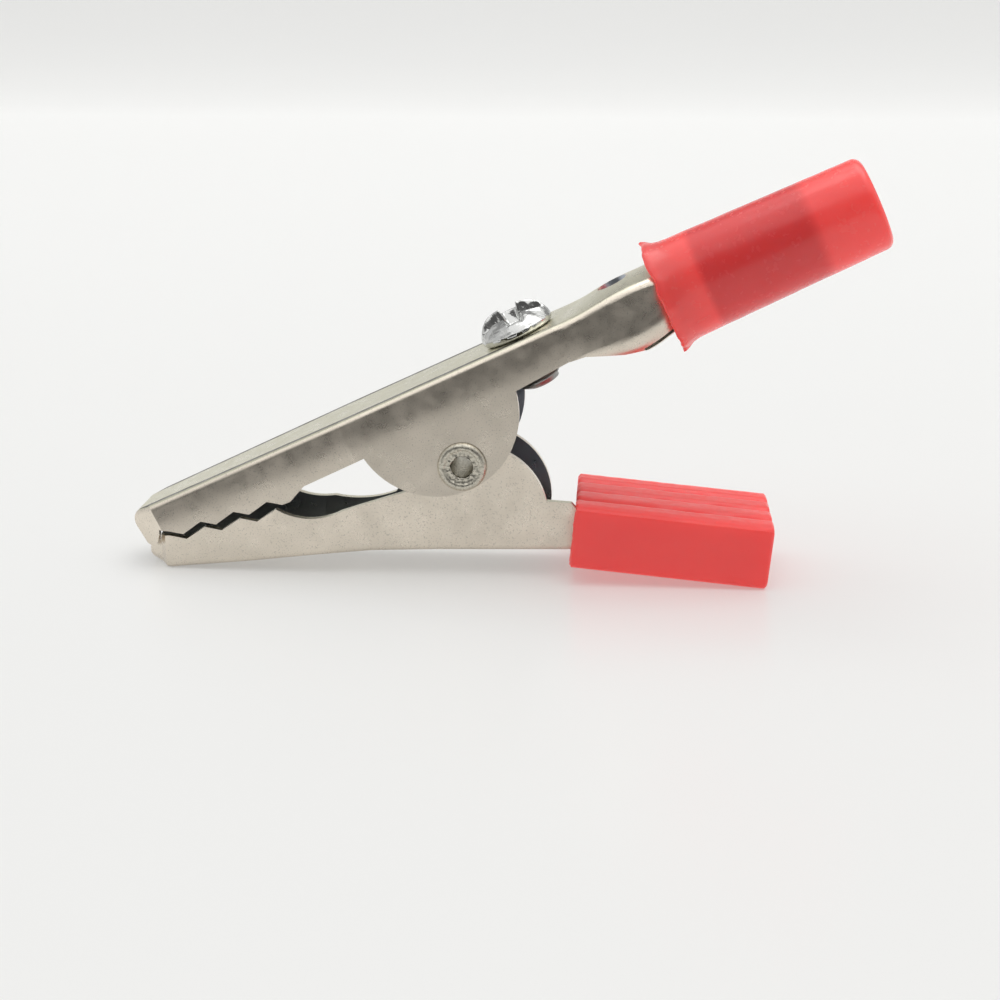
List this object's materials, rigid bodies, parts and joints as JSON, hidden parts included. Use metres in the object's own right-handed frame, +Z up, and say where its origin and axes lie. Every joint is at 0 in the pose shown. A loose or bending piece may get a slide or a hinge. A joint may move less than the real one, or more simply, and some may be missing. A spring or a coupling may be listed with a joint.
{
  "type": "alligator clip",
  "caption": "Spring-loaded steel alligator clip with toothed jaws, hollow pivot rivet, terminal screw, rolled plug barrel under a round red sleeve, and a ridged red grip.",
  "frame": {"origin": "centre of the pivot rivet, on the clip's middle plane", "axes": "+X from the jaws to the handles, +Y along the rivet, +Z up as the clip stands on its toe and lower grip"},
  "size_m": [0.0516, 0.009, 0.0283],
  "materials": {
    "plated_steel": "nickel-plated, satin, faintly warm",
    "rivet_steel": "nickel-plated, rolled",
    "spring_wire": "dull spring wire",
    "screw_chrome": "bright nickel",
    "red_sleeve": "slightly translucent glossy red vinyl",
    "red_grip": "slightly translucent red vinyl, satin gloss"
  },
  "bodies": {
    "lower": {"lower_jaw": "plated_steel", "lower_grip": "red_grip", "torsion_spring": "spring_wire"},
    "upper": {"upper_jaw": "plated_steel", "pivot_rivet": "rivet_steel", "upper_sleeve": "red_sleeve"},
    "screw": {"terminal_screw": "screw_chrome"}
  },
  "joints": [
    {"name": "jaw_pivot", "type": "hinge", "parent": "lower", "child": "upper", "pos_m": [0, 0, 0], "axis": [0, 1, 0], "range_deg": [0, 34], "stiffness_Nm_per_rad": 0.05, "springref_deg": -34.38, "deforming": ["torsion_spring"]},
    {"name": "screw_travel", "type": "slide", "parent": "upper", "child": "screw", "axis": [-0.4258, 0, 0.9048], "range_m": [0, 0.0015]}
  ]
}
